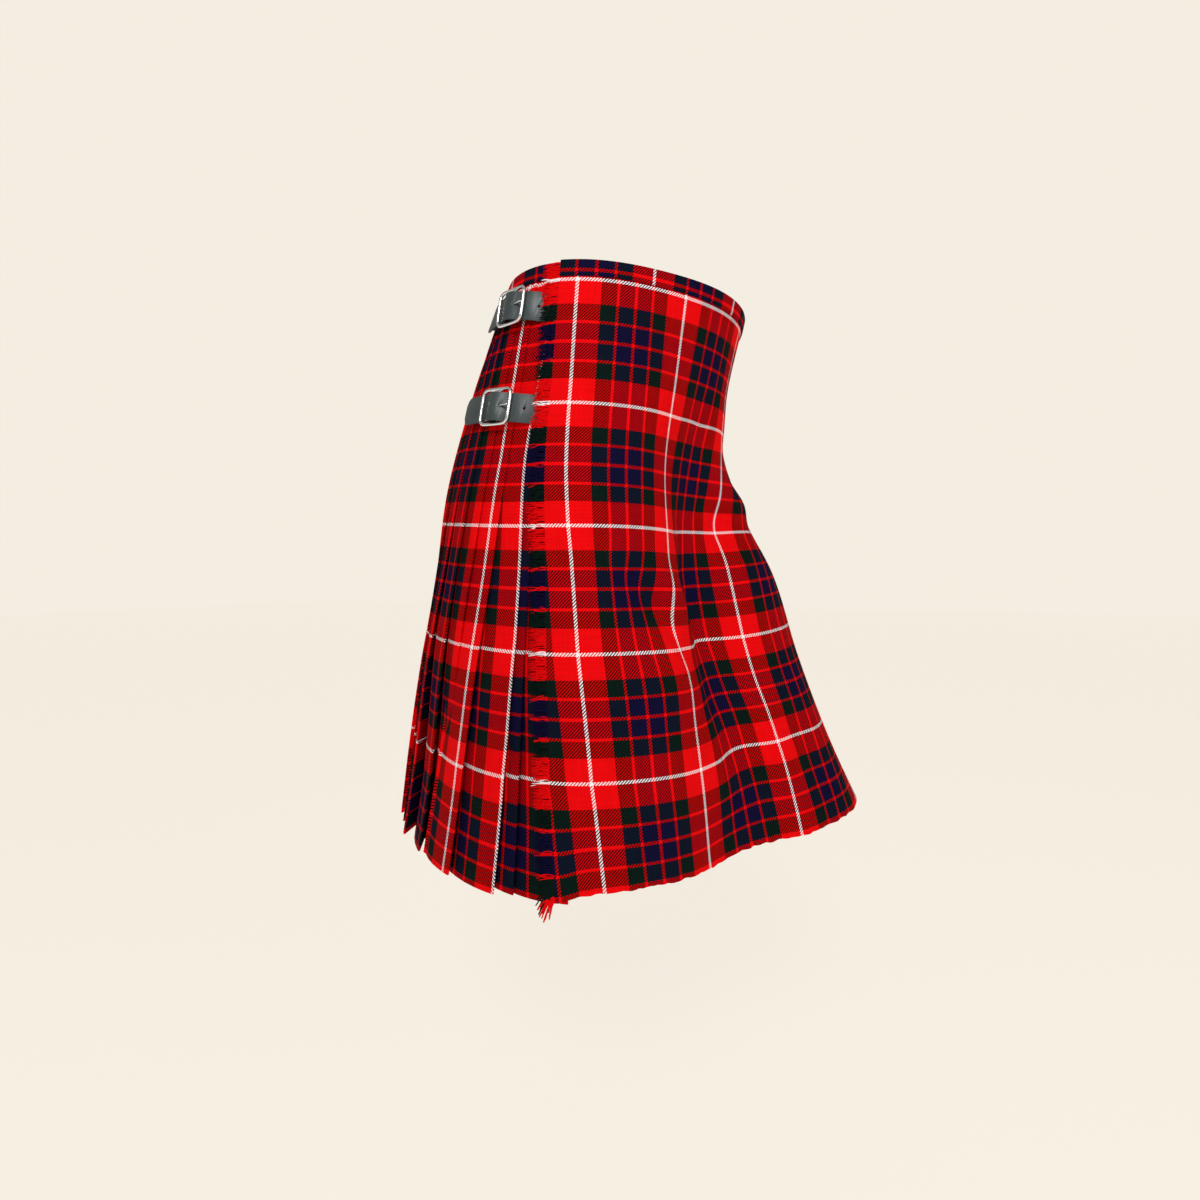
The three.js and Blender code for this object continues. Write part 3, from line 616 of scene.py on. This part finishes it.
def fringeYarns():
    verts, faces, uvs = [], [], []
    sides, steps = fringe["sides"], fringe["steps"]
    t = np.linspace(0, 1, steps + 1)
    for k in range(fringe["strands"]):
        down = fringe["inset"] + (kilt["length"] - 2 * fringe["inset"]) * (k + .5) / fringe["strands"]
        reach = fringe["reach"] * dice.uniform(fringe["shortest"], fringe["longest"])
        tuft = fringe["tuft"] * float(smooth(fringe["tuftFrom"], fringe["tuftAt"], down))
        droop = dice.uniform(0, fringe["droop"]) + tuft * dice.uniform(.6, 1)
        curl = dice.normal(0, fringe["curl"])
        lift = dice.uniform(*fringe["lift"])
        # neighbours in the tuft differ in reach, so that it spreads
        shorter = 1 - fringe["tuftSpread"] * tuft * (k * 7 % 11) / 11
        across = rightEdge(down) + fringe["root"] - reach * shorter * t
        out = lift * t - fringe["root"] + fringe["wave"] * np.sin(9 * t + 6.3 * dice.random()) * t
        line = place(ringAt(down), across, out)
        line[:, 2] -= droop * t ** 2 + curl * np.sin(5 * t) + cornerDrop(0, down)
        tangent = np.gradient(line, axis=0)
        tangent /= np.linalg.norm(tangent, axis=1)[:, None]
        sideways = np.cross(tangent, np.array([0, 0, 1.0]))
        sideways /= np.linalg.norm(sideways, axis=1)[:, None]
        upward = np.cross(sideways, tangent)
        base = len(verts)
        for step, point in enumerate(line):
            thick = fringe["thick"] + tuft * fringe["tuftThick"]
            radius = thick * (1 - fringe["taper"] * (step / steps) ** 3)
            for s in range(sides):
                turn = 2 * math.pi * (s + .5) / sides
                rim = sideways[step] * math.cos(turn) + upward[step] * math.sin(turn)
                verts.append(point + radius * rim)
                uvs.append((.5 * step, settDown(down)))
        for step in range(steps):
            for s in range(sides):
                a, b = base + step * sides + s, base + step * sides + (s + 1) % sides
                faces.append((a, b, b + sides, a + sides))
        faces.append(tuple(base + s for s in reversed(range(sides))))
        faces.append(tuple(base + steps * sides + s for s in range(sides)))
    mesh = bpy.data.meshes.new("fringeYarns")
    mesh.from_pydata([tuple(v) for v in verts], [], faces)
    layer = mesh.uv_layers.new(name="cloth")
    for loop in mesh.loops:
        layer.data[loop.index].uv = uvs[loop.vertex_index]
    piece = bpy.data.objects.new("fringeYarns", mesh)
    bpy.context.scene.collection.objects.link(piece)
    return piece


fringe["piece"] = fringeYarns()
finishPiece(fringe["piece"], ["fringe"], yarn)
print("stage: fringe")

# straps and buckles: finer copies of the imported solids
straps = {"sides": ("waist", "hip", "left"), "strapBevel": .0004, "chapeBevel": .0003, "rounding": 1,
          "merge": .00001, "segments": 2, "bevelFrom": 40, "smoothTo": 45}


def finerCopy(name, material, bevel=0, rounding=0):
    source = frame["nodes"][name]
    bpy.ops.object.select_all(action="DESELECT")
    source.select_set(True)
    bpy.context.view_layer.objects.active = source
    bpy.ops.object.duplicate()
    piece = bpy.context.object
    piece.name = name + "_fine"
    piece.parent = None
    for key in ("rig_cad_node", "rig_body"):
        del piece[key]
    bpy.ops.object.mode_set(mode="EDIT")
    bpy.ops.mesh.select_all(action="SELECT")
    bpy.ops.mesh.remove_doubles(threshold=straps["merge"])
    bpy.ops.mesh.tris_convert_to_quads()
    bpy.ops.object.mode_set(mode="OBJECT")
    if bevel:
        bpy.ops.object.modifier_add(type="BEVEL")
        edge = piece.modifiers[-1]
        edge.width, edge.segments = bevel, straps["segments"]
        edge.angle_limit = math.radians(straps["bevelFrom"])
        bpy.ops.object.modifier_apply(modifier=edge.name)
    if rounding:
        bpy.ops.object.modifier_add(type="SUBSURF")
        piece.modifiers[-1].levels = piece.modifiers[-1].render_levels = rounding
        bpy.ops.object.modifier_apply(modifier=piece.modifiers[-1].name)
    bpy.ops.object.shade_smooth_by_angle(angle=math.radians(straps["smoothTo"]))
    finishPiece(piece, [name], material)
    return piece


for side in straps["sides"]:
    finerCopy(side + "_strap", leather, bevel=straps["strapBevel"])
    finerCopy(side + "_chape", leather, bevel=straps["chapeBevel"])
    finerCopy(side + "_buckle", chrome, rounding=straps["rounding"])
    finerCopy(side + "_prong", chrome, rounding=straps["rounding"])

for name, part in frame["nodes"].items():
    part.data.materials.clear()
    if name.endswith(("strap", "chape")):
        part.data.materials.append(leather)
    elif name.endswith(("buckle", "prong")):
        part.data.materials.append(chrome)
    else:
        part.data.materials.append(tartan)
print("stage: straps")


def pleatRun(down):
    behind, out = pleatOutline(down)[:2]
    return float(np.hypot(np.diff(behind), np.diff(out)).sum())


pleatWidths = [pleatRun(down) for down in np.linspace(0, kilt["length"], 13)]

# stage, light and camera
backdrop = {"colour": (.905, .847, .753, 1), "light": .40, "floorGlow": .90, "floorLevel": -1.05,
            "floorSize": 30, "floorColour": (.16, .15, .135, 1), "floorRoughness": .95}
lights = {"key": {"spot": (-2.15, -.55, 1.2), "size": .8, "power": 37},
          "fill": {"spot": (-.75, -2.45, .5), "size": 1.2, "power": 12}}
lightTarget = (0, 0, -.3)
view = {"spot": (-.760, -.277, -.303), "heading": 67.7, "pitch": -2.0, "lens": 20.4, "sensor": 36}

scene = bpy.context.scene
scene.view_settings.view_transform = "Standard"
world = bpy.data.worlds.new("studio")
world.use_nodes = True
sky = world.node_tree.nodes["Background"]
sky.inputs["Color"].default_value = backdrop["colour"]
seen = node(world.node_tree, "ShaderNodeLightPath").outputs["Is Camera Ray"]
glow = calc(world.node_tree, "MULTIPLY", seen, 1 - backdrop["light"])
world.node_tree.links.new(calc(world.node_tree, "ADD", glow, backdrop["light"]), sky.inputs["Strength"])
scene.world = world

bpy.ops.mesh.primitive_plane_add(size=backdrop["floorSize"], location=(0, 0, backdrop["floorLevel"]))
floor = bpy.context.object
floor.name = "floor"
paper, tree, shader = newMaterial("paper")
shader.inputs["Base Color"].default_value = backdrop["floorColour"]
shader.inputs["Emission Color"].default_value = backdrop["colour"]
shader.inputs["Emission Strength"].default_value = backdrop["floorGlow"]
shader.inputs["Roughness"].default_value = backdrop["floorRoughness"]
floor.data.materials.append(paper)

for name, lamp in lights.items():
    data = bpy.data.lights.new(name, "AREA")
    data.shape = "SQUARE"
    data.size = lamp["size"]
    data.energy = lamp["power"]
    light = bpy.data.objects.new(name, data)
    light.location = lamp["spot"]
    aim = Vector(lightTarget) - Vector(lamp["spot"])
    light.rotation_euler = aim.to_track_quat("-Z", "Y").to_euler()
    scene.collection.objects.link(light)

camera = bpy.data.objects.new("camera", bpy.data.cameras.new("camera"))
camera.data.lens = view["lens"]
camera.data.sensor_width = view["sensor"]
camera.data.clip_start = .01
heading, pitch = math.radians(view["heading"]), math.radians(view["pitch"])
camera.location = view["spot"]
aim = Vector((math.sin(heading) * math.cos(pitch), math.cos(heading) * math.cos(pitch), math.sin(pitch)))
camera.rotation_euler = aim.to_track_quat("-Z", "Y").to_euler()
scene.collection.objects.link(camera)
scene.camera = camera
print("stage: studio")
